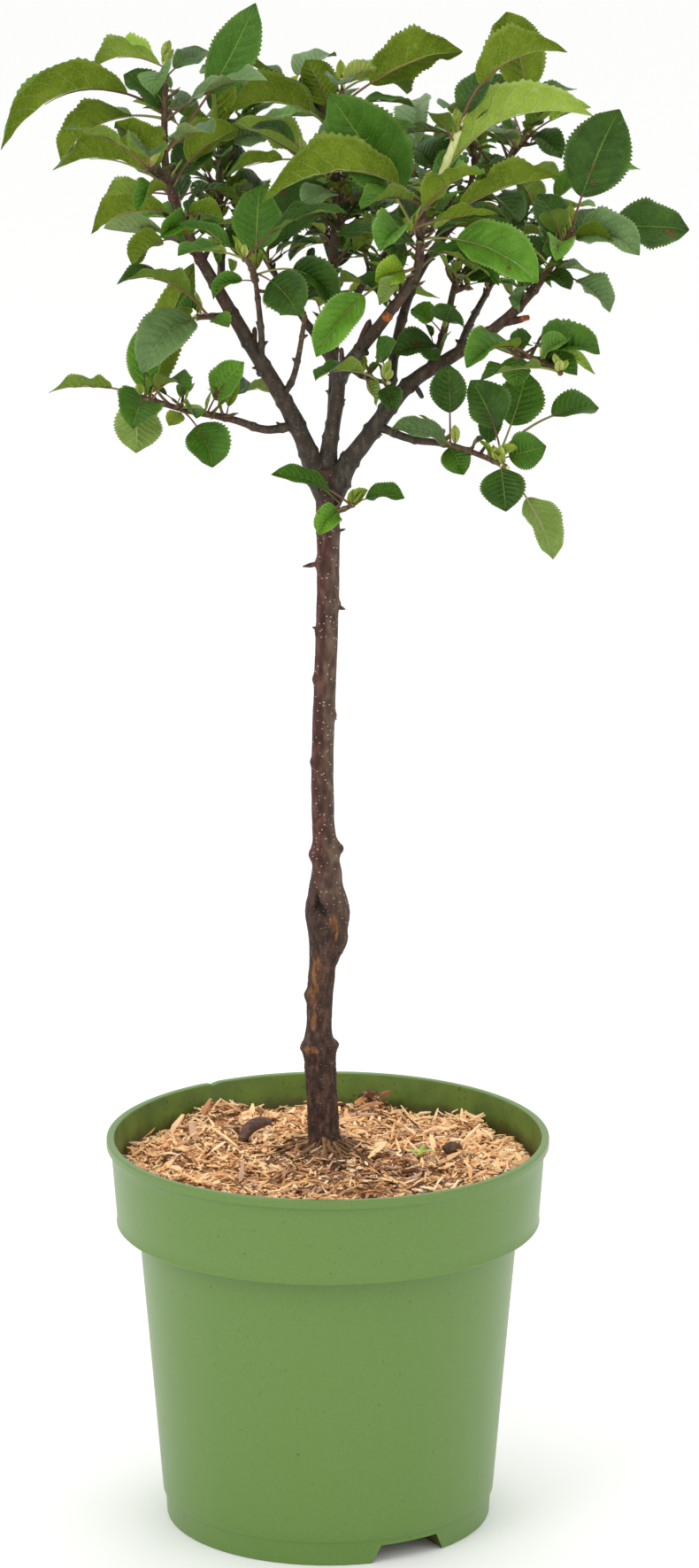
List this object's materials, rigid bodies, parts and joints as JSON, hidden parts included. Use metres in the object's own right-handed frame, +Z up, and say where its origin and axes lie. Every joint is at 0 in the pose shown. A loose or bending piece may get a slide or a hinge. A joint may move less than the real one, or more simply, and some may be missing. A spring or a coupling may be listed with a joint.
{
  "type": "potted dwarf apple tree",
  "caption": "Young dwarf apple tree with a bare stem and an open leafy crown, standing in a tapered round nursery pot filled with bark mulch.",
  "frame": {"origin": "centre of the pot's flat underside", "axes": "+Z up along the stem; -Y towards the front, where the lowest drainage notch faces a little to the right; +X to the right"},
  "size_m": [0.3529, 0.2746, 0.8229],
  "materials": {
    "pot": "satin mid-green thin moulded plastic",
    "potting_mix": "loose dry bark shavings over dark mix",
    "bark": "matt purplish grey-brown young bark",
    "foliage": "semi-matt green leaves, paler undersides"
  },
  "bodies": {
    "root": {"bough_centre_right": "bark", "bough_fork": "bark", "bough_inner_left": "bark", "bough_inner_low": "bark", "bough_leader": "bark", "bough_left": "bark", "bough_left_low": "bark", "bough_left_rear": "bark", "bough_left_spur": "bark", "bough_rear": "bark", "bough_rear_centre": "bark", "bough_rear_left": "bark", "bough_rear_right": "bark", "bough_right": "bark", "bough_right_inner": "bark", "bough_right_low": "bark", "bough_right_shelf": "bark", "bough_right_top": "bark", "foliage_centre_right": "foliage", "foliage_fork": "foliage", "foliage_inner_left": "foliage", "foliage_inner_low": "foliage", "foliage_leader": "foliage", "foliage_left": "foliage", "foliage_left_low": "foliage", "foliage_left_rear": "foliage", "foliage_left_spur": "foliage", "foliage_rear": "foliage", "foliage_rear_centre": "foliage", "foliage_rear_left": "foliage", "foliage_rear_right": "foliage", "foliage_right": "foliage", "foliage_right_inner": "foliage", "foliage_right_low": "foliage", "foliage_right_shelf": "foliage", "foliage_right_top": "foliage", "foliage_trunk_sprout": "foliage", "pot": "pot", "potting_mix": "potting_mix", "trunk": "bark"}
  },
  "joints": []
}
